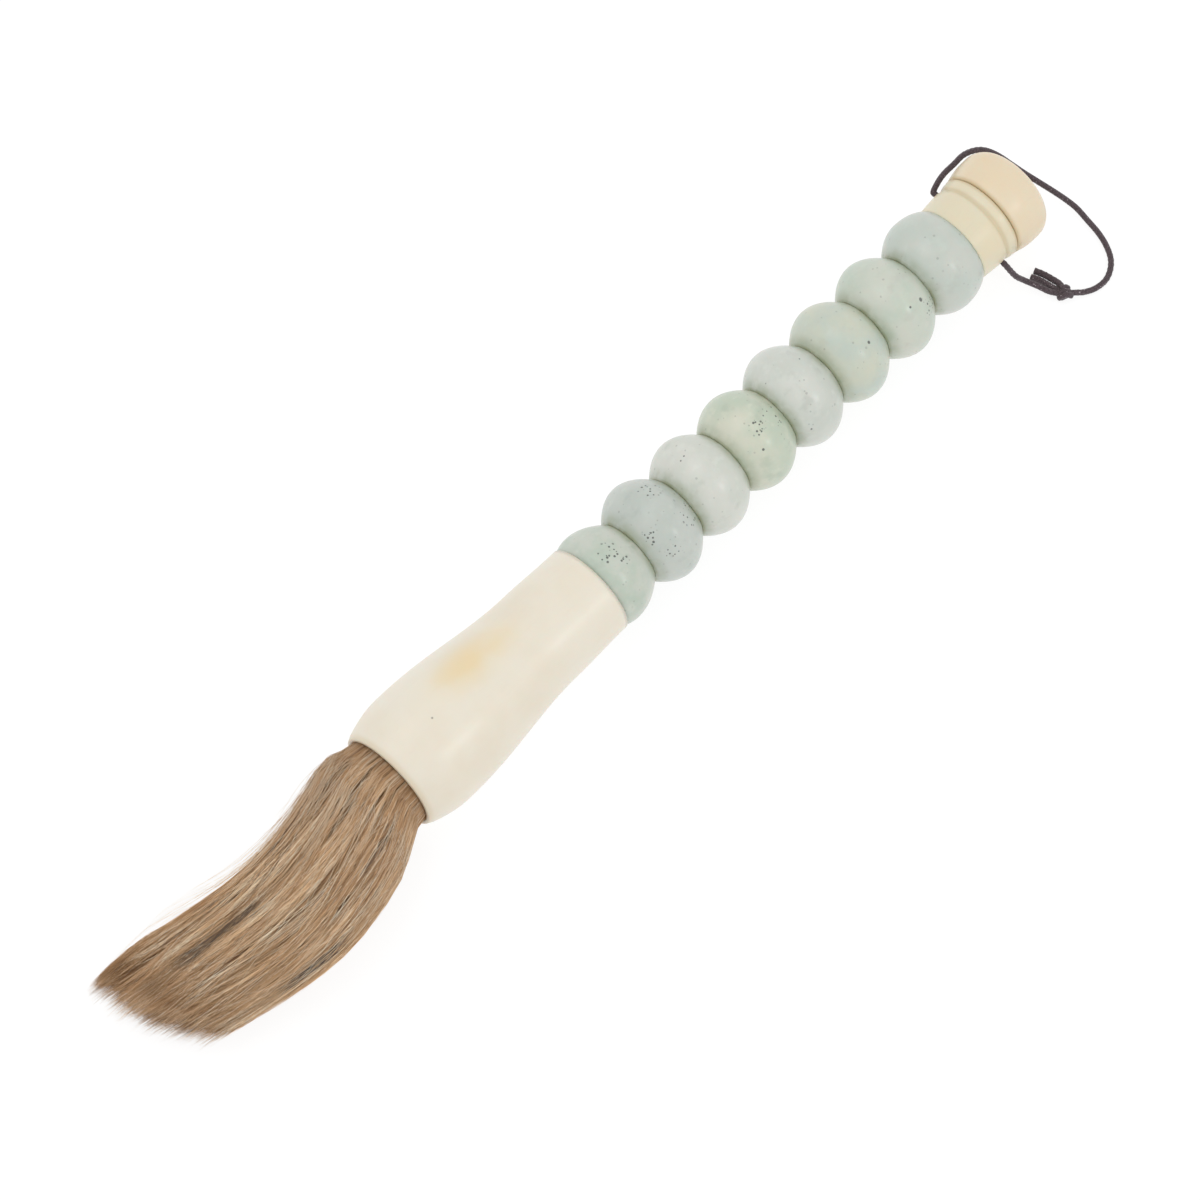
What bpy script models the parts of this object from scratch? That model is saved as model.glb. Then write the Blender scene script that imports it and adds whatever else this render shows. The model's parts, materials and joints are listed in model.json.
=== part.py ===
"""A large Chinese calligraphy brush that lies on a table.

Its tuft of animal hair is bound, glued into a bone ferrule and free to bend.  Eight stone beads are
threaded on a dowel behind the ferrule, a two-piece bone finial closes the handle, and a knotted
hanging cord runs through a bore in the finial.

Lengths are in millimetres and become metres where a shape is made.  Places along the brush are
measured from the ferrule's mouth: +x runs up the handle to the finial, and the hair is on the
-x side.  The handle tapers, so it lies on the table tilted, on the ferrule's belly and the cap's.
"""

import math

import bmesh
import bpy
from mathutils import Matrix, Vector

MM = 0.001
GAP = 0.3                       # clearance between neighbouring solids

# Ferrule: a tube of bone, belly near its mouth and waist near the beads.
MOUTH_RADIUS = 17.3
SOCKET_RADIUS = 15.5            # the wide bore that holds the hair
SOCKET_DEPTH = 31.5
BELLY_RADIUS = 20.3
BELLY_X = 14.5
WAIST_RADIUS = 16.3
WAIST_X = 64.0
FERRULE_END_RADIUS = 15.7
FERRULE_LENGTH = 87.0
MARROW_RADIUS = 11.0            # the narrow bore behind the socket
LIP_ROUNDING = 0.9

# Beads: drums of stone with rounded sides, touching at their flat faces.
BEAD_DIAMETERS = (32.3, 34.4, 33.7, 32.9, 34.0, 34.0, 34.2, 33.5)
BEAD_PITCH = 20.95
FIRST_BEAD_LENGTH = 18.9
FIRST_BEAD_PEAK_X = 92.2
FIRST_JOINT_X = 103.8           # where bead 1 meets bead 2
BEAD_FACE_RADIUS = 11.3
BEAD_BORE_RADIUS = 3.3
ROD_RADIUS = 3.0
ROD_START_X = 52.0
PLUG_START_X = 48.0

# Finial: a collar with one turned groove, and a cap that flares and has a rounded end.
COLLAR_X = 249.0
COLLAR_RADIUS = 14.0
COLLAR_END_X = 263.6
COLLAR_END_RADIUS = 15.2
GROOVE_X = 259.3
GROOVE_DEPTH = 0.6
GROOVE_HALF_WIDTH = 1.0
CAP_RADIUS = 16.4
CAP_BELLY_X = 270.5
CAP_END_X = 279.2
CAP_ROUNDING = 6.2
SPIGOT_RADIUS = 9.0
SPIGOT_LENGTH = 2.2

# Cord and its bore through the collar.  The bore is rolled about the brush's axis.
CORD_RADIUS = 0.95
CORD_SPACING = 3.8              # between the points of a cord's tube
BORE_X = 257.8
BORE_RADIUS = 1.25
BORE_ROLL = math.radians(14.0)
KNOT_RADIUS = 2.8
KNOT_FLATNESS = 0.82

# Hair.  The free part turns about a pivot outside the mouth, where its base is a ball.
PIVOT_X = -12.0
BALL_RADIUS = 15.5
FLEX_LIMIT = math.radians(30.0)
RIM_MARGIN = math.radians(10.0)   # the hollow's rim stays this far from the bent tuft
ROOT_RADIUS = SOCKET_RADIUS - GAP
ROOT_END_X = 27.6
BINDING_X = 17.0
BINDING_WIDTH = 6.0
BINDING_DEPTH = 1.2
CORE_RADIUS = 10.0
TUFT_LENGTH = 101.0             # the mantle's, from the mouth
CORE_LENGTH = 104.0             # the core's, from the mouth
MANTLE_TIP = 7.0                # the lengths over which each tip rounds off
CORE_TIP = 12.0
TUFT_RADIUS = 19.4
TIP_FLARE = 1.2
TUFT_BULGE = 8.0                # the tuft's sideways bow, to -y
TUFT_SAG = 0.25                 # the tuft's droop towards the table

BRUSH = "calligraphy_brush"
TURNING_STEPS = 40
BEAD_STEPS = 28


# ---------------------------------------------------------------- scene and materials

def clear_scene():
    for item in list(bpy.data.objects):
        bpy.data.objects.remove(item, do_unlink=True)


def new_collection(name):
    collection = bpy.data.collections.new(name)
    bpy.context.scene.collection.children.link(collection)
    return collection


def finish(name, colour, roughness):
    material = bpy.data.materials.new(name)
    material.use_nodes = True
    shader = material.node_tree.nodes["Principled BSDF"]
    shader.inputs["Base Color"].default_value = (*colour, 1.0)
    shader.inputs["Roughness"].default_value = roughness
    shader.inputs["Metallic"].default_value = 0.0
    material.diffuse_color = (*colour, 1.0)
    return material


def add(name, data, material, parent, collection):
    item = bpy.data.objects.new(name, data)
    if material is not None:
        data.materials.append(material)
    item.parent = parent
    collection.objects.link(item)
    return item


# ---------------------------------------------------------------- modelling helpers

def smooth_step(t):
    t = min(max(t, 0.0), 1.0)
    return t * t * (3.0 - 2.0 * t)


def turned(name, outline, material, parent, collection, steps=TURNING_STEPS, ring=False):
    """Turn an outline of (x, radius) points about the brush's axis.

    The outline starts at the finial's end and runs down the outside to the hair's end.  A ring's
    outline then comes back along the inside, and is closed.
    """
    points = [(radius * MM, 0.0, x * MM) for x, radius in outline]
    edges = [(i, i + 1) for i in range(len(points) - 1)]
    if ring:
        edges.append((len(points) - 1, 0))
    mesh = bpy.data.meshes.new(name)
    mesh.from_pydata(points, edges, [])
    item = add(name, mesh, material, parent, collection)
    item.rotation_euler = (0.0, math.pi / 2, 0.0)
    screw = item.modifiers.new("turn", "SCREW")
    screw.steps = steps
    screw.render_steps = steps
    screw.use_merge_vertices = True
    screw.merge_threshold = 0.00001
    screw.use_smooth_shade = True
    return item


def tube(name, path, radii, bevel_resolution, material, parent, collection):
    """A capped round tube along a path of points in millimetres, with a radius for each point."""
    curve = bpy.data.curves.new(name, "CURVE")
    curve.dimensions = "3D"
    curve.bevel_depth = MM
    curve.bevel_resolution = bevel_resolution
    curve.use_fill_caps = True
    spline = curve.splines.new("POLY")
    spline.points.add(len(path) - 1)
    for point, place, radius in zip(spline.points, path, radii):
        point.co = (*(Vector(place) * MM), 1.0)
        point.radius = radius
    return add(name, curve, material, parent, collection)


def meshed(item):
    """Replace a curve object by the mesh of its tube, with its caps welded on."""
    bpy.context.view_layer.update()
    evaluated = item.evaluated_get(bpy.context.evaluated_depsgraph_get())
    mesh = bpy.data.meshes.new_from_object(evaluated)
    welded = bmesh.new()
    welded.from_mesh(mesh)
    bmesh.ops.remove_doubles(welded, verts=welded.verts, dist=0.00001)
    bmesh.ops.recalc_face_normals(welded, faces=welded.faces)
    welded.to_mesh(mesh)
    welded.free()
    name, parent, collection = item.name, item.parent, item.users_collection[0]
    matrix = item.matrix_local.copy()
    bpy.data.objects.remove(item, do_unlink=True)
    solid = add(name, mesh, None, parent, collection)
    solid.name = name
    solid.matrix_local = matrix
    mesh.shade_smooth()
    return solid


def cut(item, cutter):
    cutter.hide_render = True
    cutter.display_type = "WIRE"
    boolean = item.modifiers.new("cut", "BOOLEAN")
    boolean.operation = "DIFFERENCE"
    boolean.solver = "EXACT"
    boolean.object = cutter


def smooth_route(anchors, spacing):
    """Points every `spacing` along a Catmull-Rom curve through the anchors."""
    anchors = [Vector(anchor) for anchor in anchors]
    padded = [2 * anchors[0] - anchors[1], *anchors, 2 * anchors[-1] - anchors[-2]]
    fine = []
    for p0, p1, p2, p3 in zip(padded, padded[1:], padded[2:], padded[3:]):
        for step in range(24):
            t = step / 24
            fine.append(0.5 * (2 * p1 + (p2 - p0) * t + (2 * p0 - 5 * p1 + 4 * p2 - p3) * t ** 2
                               + (3 * p1 - p0 - 3 * p2 + p3) * t ** 3))
    fine.append(anchors[-1])
    lengths = [0.0]
    for a, b in zip(fine, fine[1:]):
        lengths.append(lengths[-1] + (b - a).length)
    count = max(2, round(lengths[-1] / spacing))
    route = []
    nearest = 0
    for step in range(count + 1):
        target = lengths[-1] * step / count
        while nearest < len(lengths) - 2 and lengths[nearest + 1] < target:
            nearest += 1
        span = lengths[nearest + 1] - lengths[nearest]
        route.append(fine[nearest].lerp(fine[nearest + 1], (target - lengths[nearest]) / span))
    return route


# ---------------------------------------------------------------- ferrule

def ferrule_radius(x):
    """Outer radius: up from the mouth to the belly, down to the waist, and on to the end."""
    if x < BELLY_X:
        rise = math.sin(math.pi / 2 * x / BELLY_X)
        return MOUTH_RADIUS + (BELLY_RADIUS - MOUTH_RADIUS) * rise
    if x < WAIST_X:
        fall = smooth_step((x - BELLY_X) / (WAIST_X - BELLY_X)) ** 1.25
        return BELLY_RADIUS + (WAIST_RADIUS - BELLY_RADIUS) * fall
    tail = smooth_step((x - WAIST_X) / (FERRULE_LENGTH - WAIST_X))
    return WAIST_RADIUS + (FERRULE_END_RADIUS - WAIST_RADIUS) * tail


def make_ferrule(material, parent, collection):
    seat = bead_span(0)[0] - GAP
    outside_x = [FERRULE_LENGTH + (BELLY_X - FERRULE_LENGTH) * step / 10 for step in range(11)]
    outside_x += [BELLY_X * share for share in (0.64, 0.36, 0.18)]
    outline = [(x, ferrule_radius(x)) for x in outside_x]
    lip_centre = MOUTH_RADIUS - LIP_ROUNDING
    for angle in (15.0, 45.0, 75.0):
        turn = math.radians(angle)
        outline.append((LIP_ROUNDING * (1 - math.sin(turn)), lip_centre + LIP_ROUNDING * math.cos(turn)))
    outline += [(0.0, SOCKET_RADIUS + 0.4), (0.4, SOCKET_RADIUS)]
    outline += [(SOCKET_DEPTH, SOCKET_RADIUS), (SOCKET_DEPTH, MARROW_RADIUS), (seat, MARROW_RADIUS)]
    for share in (0.0, 0.05, 0.25, 0.6, 1.0):
        x = seat + (FERRULE_LENGTH - seat) * share
        outline.append((x, bead_radius(0, x, GAP)))
    return turned("ferrule", outline, material, parent, collection, ring=True)


def make_plug(material, parent, collection):
    """The wooden plug in the marrow bore, which holds the dowel."""
    end = bead_span(0)[0] - GAP
    radius = MARROW_RADIUS - GAP
    hole = ROD_RADIUS + GAP
    outline = [(end, radius), (PLUG_START_X, radius), (PLUG_START_X, hole), (end, hole)]
    return turned("ferrule_plug", outline, material, parent, collection, ring=True)


# ---------------------------------------------------------------- beads

def bead_span(index):
    """Where a bead starts and ends, with half a gap inside each joint plane."""
    start = FIRST_JOINT_X + BEAD_PITCH * (index - 1)
    if index == 0:
        start = FIRST_JOINT_X - FIRST_BEAD_LENGTH
    end = FIRST_JOINT_X + BEAD_PITCH * index
    return start + GAP / 2, end - GAP / 2


def bead_radius(index, x, grow=0.0):
    """Outer radius of a bead at x, grown for a seat.

    It falls off as a parabola towards another bead, and as an ellipse, fuller, into bone.
    """
    start, end = bead_span(index)
    middle = FIRST_BEAD_PEAK_X if index == 0 else (start + end) / 2
    reach = middle - start if x < middle else end - middle
    fall = 1.0 - min(abs(x - middle) / (reach + grow), 1.0) ** 2
    into_bone = (index == 0 and x < middle) or (index == len(BEAD_DIAMETERS) - 1 and x > middle)
    bulge = BEAD_DIAMETERS[index] / 2 - BEAD_FACE_RADIUS + grow
    return BEAD_FACE_RADIUS + bulge * (math.sqrt(fall) if into_bone else fall)


def make_bead(index, material, parent, collection):
    start, end = bead_span(index)
    centre, half_length = (start + end) / 2, (end - start) / 2
    outline = []
    for step in range(9):
        x = centre + half_length * math.cos(math.pi * step / 8)
        outline.append((x, bead_radius(index, x)))
    outline += [(start, BEAD_BORE_RADIUS), (end, BEAD_BORE_RADIUS)]
    return turned(f"bead_{index + 1}", outline, material, parent, collection, BEAD_STEPS, ring=True)


def make_rod(material, parent, collection):
    """The dowel from the plug, through the beads, into the collar."""
    end = BORE_X - BORE_RADIUS - 2 * GAP - 0.5
    outline = [(end, 0.0), (end, ROD_RADIUS), (ROD_START_X, ROD_RADIUS), (ROD_START_X, 0.0)]
    return turned("core_rod", outline, material, parent, collection, steps=20)


# ---------------------------------------------------------------- finial

def collar_radius(x):
    share = (x - COLLAR_X) / (COLLAR_END_X - COLLAR_X)
    return COLLAR_RADIUS + (COLLAR_END_RADIUS - COLLAR_RADIUS) * share


def make_collar(material, parent, cutters, collection):
    """The collar: a cup over the last bead, a blind hole for the dowel, a recess for the cap."""
    seat = bead_span(7)[1] + GAP
    groove = []
    for share, depth in ((1.0, 0.0), (0.4, 0.75), (0.0, 1.0), (-0.4, 0.75), (-1.0, 0.0)):
        x = GROOVE_X + GROOVE_HALF_WIDTH * share
        groove.append((x, collar_radius(x) - GROOVE_DEPTH * depth))
    hole_end = BORE_X - BORE_RADIUS - GAP - 0.5
    recess = COLLAR_END_X - SPIGOT_LENGTH - GAP
    outline = [(recess, 0.0), (recess, SPIGOT_RADIUS + GAP), (COLLAR_END_X, SPIGOT_RADIUS + GAP)]
    outline += [(COLLAR_END_X, COLLAR_END_RADIUS - 0.5), (COLLAR_END_X - 0.6, COLLAR_END_RADIUS)]
    outline += groove
    outline.append((COLLAR_X, COLLAR_RADIUS))
    outline += [(x, bead_radius(7, x, GAP)) for x in (COLLAR_X, COLLAR_X + 0.6, seat)]
    outline += [(seat, ROD_RADIUS + GAP), (hole_end, ROD_RADIUS + GAP), (hole_end, 0.0)]
    collar = turned("finial_collar", outline, material, parent, collection)
    cut(collar, make_bore_cutter(parent, cutters))
    return collar


def make_bore_cutter(parent, cutters):
    mesh = bpy.data.meshes.new("cord_bore_cutter")
    shape = bmesh.new()
    bmesh.ops.create_cone(shape, cap_ends=True, segments=16, radius1=BORE_RADIUS * MM,
                          radius2=BORE_RADIUS * MM, depth=40 * MM)
    shape.to_mesh(mesh)
    shape.free()
    cutter = add("cord_bore_cutter", mesh, None, parent, cutters)
    cutter.location = (BORE_X * MM, 0.0, 0.0)
    cutter.rotation_euler = (BORE_ROLL - math.pi / 2, 0.0, 0.0)
    return cutter


def make_cap(material, parent, collection):
    """The cap: a spigot into the collar, a flare, and a rounded end with a flat face."""
    start = COLLAR_END_X + GAP
    rounding_x = CAP_END_X - CAP_ROUNDING
    outline = [(CAP_END_X, 0.0)]
    for angle in (0.0, 18.0, 36.0, 54.0, 72.0, 90.0):
        turn = math.radians(angle)
        outline.append((rounding_x + CAP_ROUNDING * math.cos(turn),
                        CAP_RADIUS - CAP_ROUNDING * (1 - math.sin(turn))))
    for share in (0.75, 0.5, 0.25, 0.1):
        x = start + (CAP_BELLY_X - start) * share
        rise = math.sin(math.pi / 2 * share)
        outline.append((x, COLLAR_END_RADIUS + (CAP_RADIUS - COLLAR_END_RADIUS) * rise))
    outline += [(start, COLLAR_END_RADIUS - 0.5), (start, SPIGOT_RADIUS)]
    outline += [(start - SPIGOT_LENGTH, SPIGOT_RADIUS), (start - SPIGOT_LENGTH, 0.0)]
    return turned("finial_cap", outline, material, parent, collection)


# ---------------------------------------------------------------- hair

def make_hair_root(material, parent, collection):
    """The glued root in the socket.  Its front is the hollow that the ball of the tuft turns in."""
    hollow = BALL_RADIUS + GAP
    rim_angle = math.pi / 2 - FLEX_LIMIT - RIM_MARGIN
    outline = [(ROOT_END_X, 0.0), (ROOT_END_X, ROOT_RADIUS - 1.5), (ROOT_END_X - 1.5, ROOT_RADIUS)]
    neck = ROOT_RADIUS - BINDING_DEPTH
    outline += [(BINDING_X + BINDING_WIDTH, ROOT_RADIUS), (BINDING_X + BINDING_WIDTH, neck)]
    outline += [(BINDING_X, neck), (BINDING_X, ROOT_RADIUS), (-1.0, ROOT_RADIUS)]
    for step in range(6):
        angle = rim_angle * (1 - step / 5)
        outline.append((PIVOT_X + hollow * math.cos(angle), hollow * math.sin(angle)))
    return turned("hair_root", outline, material, parent, collection, steps=32)


def make_binding(material, parent, collection):
    """The thread wound round the root, as one band in a groove."""
    inner, outer = ROOT_RADIUS - BINDING_DEPTH + GAP, ROOT_RADIUS
    start, end = BINDING_X + GAP, BINDING_X + BINDING_WIDTH - GAP
    outline = [(end, outer), (start, outer), (start, inner), (end, inner)]
    return turned("root_binding", outline, material, parent, collection, steps=32, ring=True)


def make_resin(material, parent, collection):
    """The resin that seals the root into the socket."""
    start, end = ROOT_END_X + GAP, SOCKET_DEPTH - GAP
    outline = [(end, 0.0), (end, ROOT_RADIUS), (start, ROOT_RADIUS), (start, 0.0)]
    return turned("resin_plug", outline, material, parent, collection, steps=32)


def tuft_centre(out):
    """Centre of the tuft at a distance out from the mouth, relative to the pivot."""
    along = max(out + PIVOT_X, 0.0) / (TUFT_LENGTH + PIVOT_X)
    bow = math.sin(math.pi * min(along, 1.0) ** 0.85)
    return Vector((-out - PIVOT_X, -TUFT_BULGE * bow, -TUFT_SAG * smooth_step(2 * along)))


def tuft_radius(out):
    """Radius of the tuft: its ball up to the pivot, then a swelling and a slight flare."""
    beyond = out + PIVOT_X
    if beyond < 0.0:
        return math.sqrt(max(BALL_RADIUS ** 2 - beyond ** 2, 0.0))
    body = BALL_RADIUS + (TUFT_RADIUS - BALL_RADIUS) * smooth_step(beyond / 16.0)
    return body + TIP_FLARE * smooth_step((out - 50.0) / 30.0)


def tuft_stations(length, tip):
    """Distances out from the mouth: close together on the ball, even on the body and at the tip."""
    ball = [-PIVOT_X - BALL_RADIUS * math.cos(math.radians(a)) for a in (14, 28, 42, 56, 70, 80)]
    body = [-PIVOT_X + (length - tip + PIVOT_X) * step / 8 for step in range(9)]
    return ball + body + [length - tip * share for share in (0.5, 0.15, 0.0)]


def tuft_solid(name, stations, radii, material, parent, collection):
    """A solid tube along the tuft's centre line."""
    path = [tuft_centre(out) for out in stations]
    solid = meshed(tube(name, path, radii, 9, None, parent, collection))
    if material is not None:
        solid.data.materials.append(material)
    return solid


def make_tuft(mantle_material, core_material, parent, cutters, collection):
    """The mantle of outer hair, open at both ends, and the core of inner hair that fills it."""
    stations = tuft_stations(TUFT_LENGTH, MANTLE_TIP)
    radii = [tuft_radius(out) for out in stations]
    for index, rounding in zip((-3, -2, -1), (0.97, 0.9, 0.82)):
        radii[index] *= rounding
    mantle = tuft_solid("hair_mantle", stations, radii, mantle_material, parent, collection)

    stations = tuft_stations(CORE_LENGTH, CORE_TIP)
    radii = [min(tuft_radius(out), CORE_RADIUS) for out in stations]
    for index, rounding in zip((-3, -2, -1), (0.9, 0.7, 0.5)):
        radii[index] *= rounding
    tuft_solid("hair_core", stations, radii, core_material, parent, collection)

    reach = [PIVOT_X, *stations, CORE_LENGTH - PIVOT_X]
    bore = tuft_solid("tuft_bore_cutter", reach, [CORE_RADIUS + GAP] * len(reach), None, parent, cutters)
    cut(mantle, bore)


# ---------------------------------------------------------------- cord

def bore_direction(tilt):
    """Along the bore, to its upper mouth, on the tilted brush."""
    return Matrix.Rotation(tilt, 3, "Y") @ Vector((0.0, math.cos(BORE_ROLL), math.sin(BORE_ROLL)))


def cord_routes(bore_centre, side):
    """The cord's free stretches, as x from the mouth, y sideways and z above the table."""
    mouth = collar_radius(BORE_X) + GAP
    upper_exit = bore_centre + side * mouth
    lower_exit = bore_centre - side * mouth
    upper = [upper_exit, upper_exit + side * 2.2, (261.2, 16.4, 21.9), (264.6, 16.9, 22.1),
             (269.0, 17.0, 21.8), (273.2, 17.3, 21.1), (276.8, 16.8, 19.8), (279.9, 15.5, 18.4),
             (282.1, 13.5, 16.8), (283.8, 10.6, 15.0), (285.2, 6.5, 12.9), (286.6, 2.4, 10.8),
             (288.6, -2.9, 8.2), (290.4, -7.6, 5.8), (291.7, -11.7, 3.9), (292.3, -15.6, 2.6),
             (291.9, -20.3, 1.7), (291.2, -25.4, 1.2), (289.7, -30.1, 1.1), (287.1, -34.5, 1.1),
             (283.7, -37.2, 1.1), (279.9, -38.4, 1.1), (275.8, -37.9, 1.1), (272.3, -36.3, 1.5),
             (270.0, -34.7, 2.3)]
    lower = [lower_exit, lower_exit - side * 2.2, (259.0, -18.9, 8.2), (261.1, -21.0, 4.9),
             (263.3, -25.1, 3.2), (264.7, -28.9, 2.6)]
    return upper, lower


def knot_centre():
    return Vector((267.3, -32.4, KNOT_RADIUS * KNOT_FLATNESS + 0.05))


def tail_routes():
    first = [(266.9, -29.0, 1.5), (266.6, -26.1, 1.1), (266.0, -23.2, 1.05), (265.0, -20.6, 1.05)]
    second = [(269.2, -29.0, 1.5), (269.0, -25.8, 1.1), (268.4, -22.8, 1.05), (267.4, -20.0, 1.05)]
    return first, second


def make_cord(material, parent, centre, side, collection):
    """The cord's stretches, its knot and its two ends, about an empty at the bore's centre."""
    upper, lower = cord_routes(centre, side)
    mouth = collar_radius(BORE_X) - GAP / 2
    inside = [centre - side * mouth, centre, centre + side * mouth]
    routes = {"cord_in_bore": inside, "cord_long_side": upper, "cord_short_side": lower}
    routes["cord_end_1"], routes["cord_end_2"] = tail_routes()
    for name, anchors in routes.items():
        path = [point - centre for point in smooth_route(anchors, CORD_SPACING)]
        tube(name, path, [CORD_RADIUS] * len(path), 2, material, parent, collection)
    mesh = bpy.data.meshes.new("cord_knot")
    shape = bmesh.new()
    bmesh.ops.create_uvsphere(shape, u_segments=14, v_segments=8, radius=KNOT_RADIUS * MM)
    bmesh.ops.scale(shape, vec=(1.0, 1.0, KNOT_FLATNESS), verts=shape.verts)
    shape.to_mesh(mesh)
    shape.free()
    knot = add("cord_knot", mesh, material, parent, collection)
    knot.location = (knot_centre() - centre) * MM


# ---------------------------------------------------------------- assembly

def table_tilt():
    """The slope at which the handle rests on the ferrule's belly and the cap's."""
    return math.atan((BELLY_RADIUS - CAP_RADIUS) / (CAP_BELLY_X - BELLY_X))


def on_brush(x, tilt):
    """A point of the tilted axis, as x from the mouth and height above the table."""
    height = BELLY_RADIUS / math.cos(tilt) + BELLY_X * math.sin(tilt)
    return Vector((x * math.cos(tilt), 0.0, height - x * math.sin(tilt)))


def extent(objects):
    """World bounding box of the objects' finished meshes."""
    bpy.context.view_layer.update()
    depsgraph = bpy.context.evaluated_depsgraph_get()
    corners = []
    for item in objects:
        evaluated = item.evaluated_get(depsgraph)
        mesh = evaluated.to_mesh()
        corners += [item.matrix_world @ vertex.co for vertex in mesh.vertices]
        evaluated.to_mesh_clear()
    low = Vector(min(corner[axis] for corner in corners) for axis in range(3))
    high = Vector(max(corner[axis] for corner in corners) for axis in range(3))
    return low, high


def new_empty(name, parent, location):
    empty = bpy.data.objects.new(name, None)
    empty.parent = parent
    empty.location = location
    bpy.context.scene.collection.objects.link(empty)
    return empty


def make_materials():
    stones = ((0.60, 0.64, 0.60), (0.58, 0.63, 0.61), (0.67, 0.69, 0.65), (0.58, 0.63, 0.52),
              (0.66, 0.68, 0.65), (0.57, 0.63, 0.57), (0.53, 0.60, 0.51), (0.56, 0.63, 0.58))
    materials = {f"bead_{index + 1}": finish(f"stone_{index + 1}", colour, 0.32)
                 for index, colour in enumerate(stones)}
    materials["bone"] = finish("bone", (0.83, 0.77, 0.64), 0.35)
    materials["hair"] = finish("hair", (0.42, 0.27, 0.16), 0.6)
    materials["dark_hair"] = finish("dark_hair", (0.20, 0.13, 0.08), 0.6)
    materials["wood"] = finish("wood", (0.62, 0.45, 0.26), 0.7)
    materials["thread"] = finish("thread", (0.75, 0.70, 0.58), 0.9)
    materials["resin"] = finish("resin", (0.45, 0.27, 0.10), 0.2)
    materials["cord"] = finish("cord", (0.055, 0.035, 0.042), 0.85)
    return materials


def main():
    clear_scene()
    collection = new_collection(BRUSH)
    cutters = new_collection("cutters")
    looks = make_materials()
    tilt = table_tilt()

    table = new_empty("table_place", None, (0.0, 0.0, 0.0))
    brush = new_empty("brush_axis", table, on_brush(0.0, tilt) * MM)
    brush.rotation_euler = (0.0, tilt, 0.0)
    make_ferrule(looks["bone"], brush, collection)
    make_plug(looks["wood"], brush, collection)
    make_rod(looks["wood"], brush, collection)
    for index in range(len(BEAD_DIAMETERS)):
        make_bead(index, looks[f"bead_{index + 1}"], brush, collection)
    make_collar(looks["bone"], brush, cutters, collection)
    make_cap(looks["bone"], brush, collection)
    make_hair_root(looks["dark_hair"], brush, collection)
    make_binding(looks["thread"], brush, collection)
    make_resin(looks["resin"], brush, collection)

    pivot = new_empty("tuft_pivot", table, on_brush(PIVOT_X, tilt) * MM)
    make_tuft(looks["hair"], looks["dark_hair"], pivot, cutters, collection)

    body = list(collection.objects)
    centre = on_brush(BORE_X, tilt)
    swing = new_empty("cord_swing", table, centre * MM)
    make_cord(looks["cord"], swing, centre, bore_direction(tilt), collection)

    low, high = extent(body)
    table.location = (-(low.x + high.x) / 2, -(low.y + high.y) / 2, -low.z)


main()
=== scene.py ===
"""A calligraphy brush with stone beads, lying on a white table.

Places along the brush are in millimetres from the ferrule's mouth: +x runs up the handle.  Hair is
placed by how far it is out of the mouth, which is -x.  Around the brush an angle of 0 is its +y
side and an angle of 90 degrees is its top.
"""

import json
import math

import bmesh
import bpy
import numpy as np
from mathutils import Matrix, Vector

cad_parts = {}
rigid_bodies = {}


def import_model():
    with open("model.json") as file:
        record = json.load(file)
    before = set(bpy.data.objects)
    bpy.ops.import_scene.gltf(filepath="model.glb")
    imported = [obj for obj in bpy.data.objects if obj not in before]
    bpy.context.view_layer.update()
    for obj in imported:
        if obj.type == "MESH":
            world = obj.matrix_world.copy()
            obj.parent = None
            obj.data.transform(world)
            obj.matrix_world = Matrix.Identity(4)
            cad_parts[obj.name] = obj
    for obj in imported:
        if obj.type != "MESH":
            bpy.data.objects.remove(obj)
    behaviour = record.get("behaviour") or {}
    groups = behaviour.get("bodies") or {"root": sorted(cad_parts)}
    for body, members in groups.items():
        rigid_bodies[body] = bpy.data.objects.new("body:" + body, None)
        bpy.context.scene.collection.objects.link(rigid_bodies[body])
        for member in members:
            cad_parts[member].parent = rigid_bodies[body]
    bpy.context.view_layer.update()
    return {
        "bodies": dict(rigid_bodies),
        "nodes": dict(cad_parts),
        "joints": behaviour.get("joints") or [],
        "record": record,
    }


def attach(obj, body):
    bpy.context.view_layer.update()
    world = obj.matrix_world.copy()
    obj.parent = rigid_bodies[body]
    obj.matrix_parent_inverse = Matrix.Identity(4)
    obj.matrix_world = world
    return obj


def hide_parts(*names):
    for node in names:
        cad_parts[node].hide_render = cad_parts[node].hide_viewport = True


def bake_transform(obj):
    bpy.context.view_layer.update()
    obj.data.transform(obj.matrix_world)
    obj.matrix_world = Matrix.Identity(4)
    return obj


MM = 0.001
SEED = 11

# Camera
HEADING = math.radians(43.63)       # its level direction, from +x towards +y
DEPRESSION = math.radians(66.6)
DISTANCE = 1.7
TARGET = (0.0007, 0.0003, 0.015)
LENS = 168.6
SENSOR = 36.0

# Studio, in metres and watts
AMBIENT = 1.0
FLOOR_TONE = 0.2
FLOOR_GLOW = 0.84
FLOOR_SIZE = 12.0
FLOOR_Z = -0.0003                   # just under the surface that the brush lies on
SOFTBOX_DISTANCE = 1.2
SOFTBOXES = (
    # name, direction towards it, its size, its power
    ("key", (-0.2, 0.35, 1.0), 0.8, 1.6),
    ("low_key", (0.25, -0.74, 0.62), 0.12, 1.1),
)

# The brush's axis on the table
MOUTH = (-0.08719, 0.00356, 0.02059)
TILT = 0.015234

# Ferrule
MOUTH_RADIUS = 17.3
SOCKET_RADIUS = 15.5
SOCKET_DEPTH = 31.5
BELLY_RADIUS = 20.3
BELLY_X = 14.5
WAIST_RADIUS = 16.3
WAIST_X = 64.0
FERRULE_END_RADIUS = 15.7
FERRULE_LENGTH = 87.0
MARROW_RADIUS = 11.0
LIP_ROUNDING = 0.9
END_CHAMFER = 0.3
SEAT_ROOM = 0.12                    # round a bead that sits in bone

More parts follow.
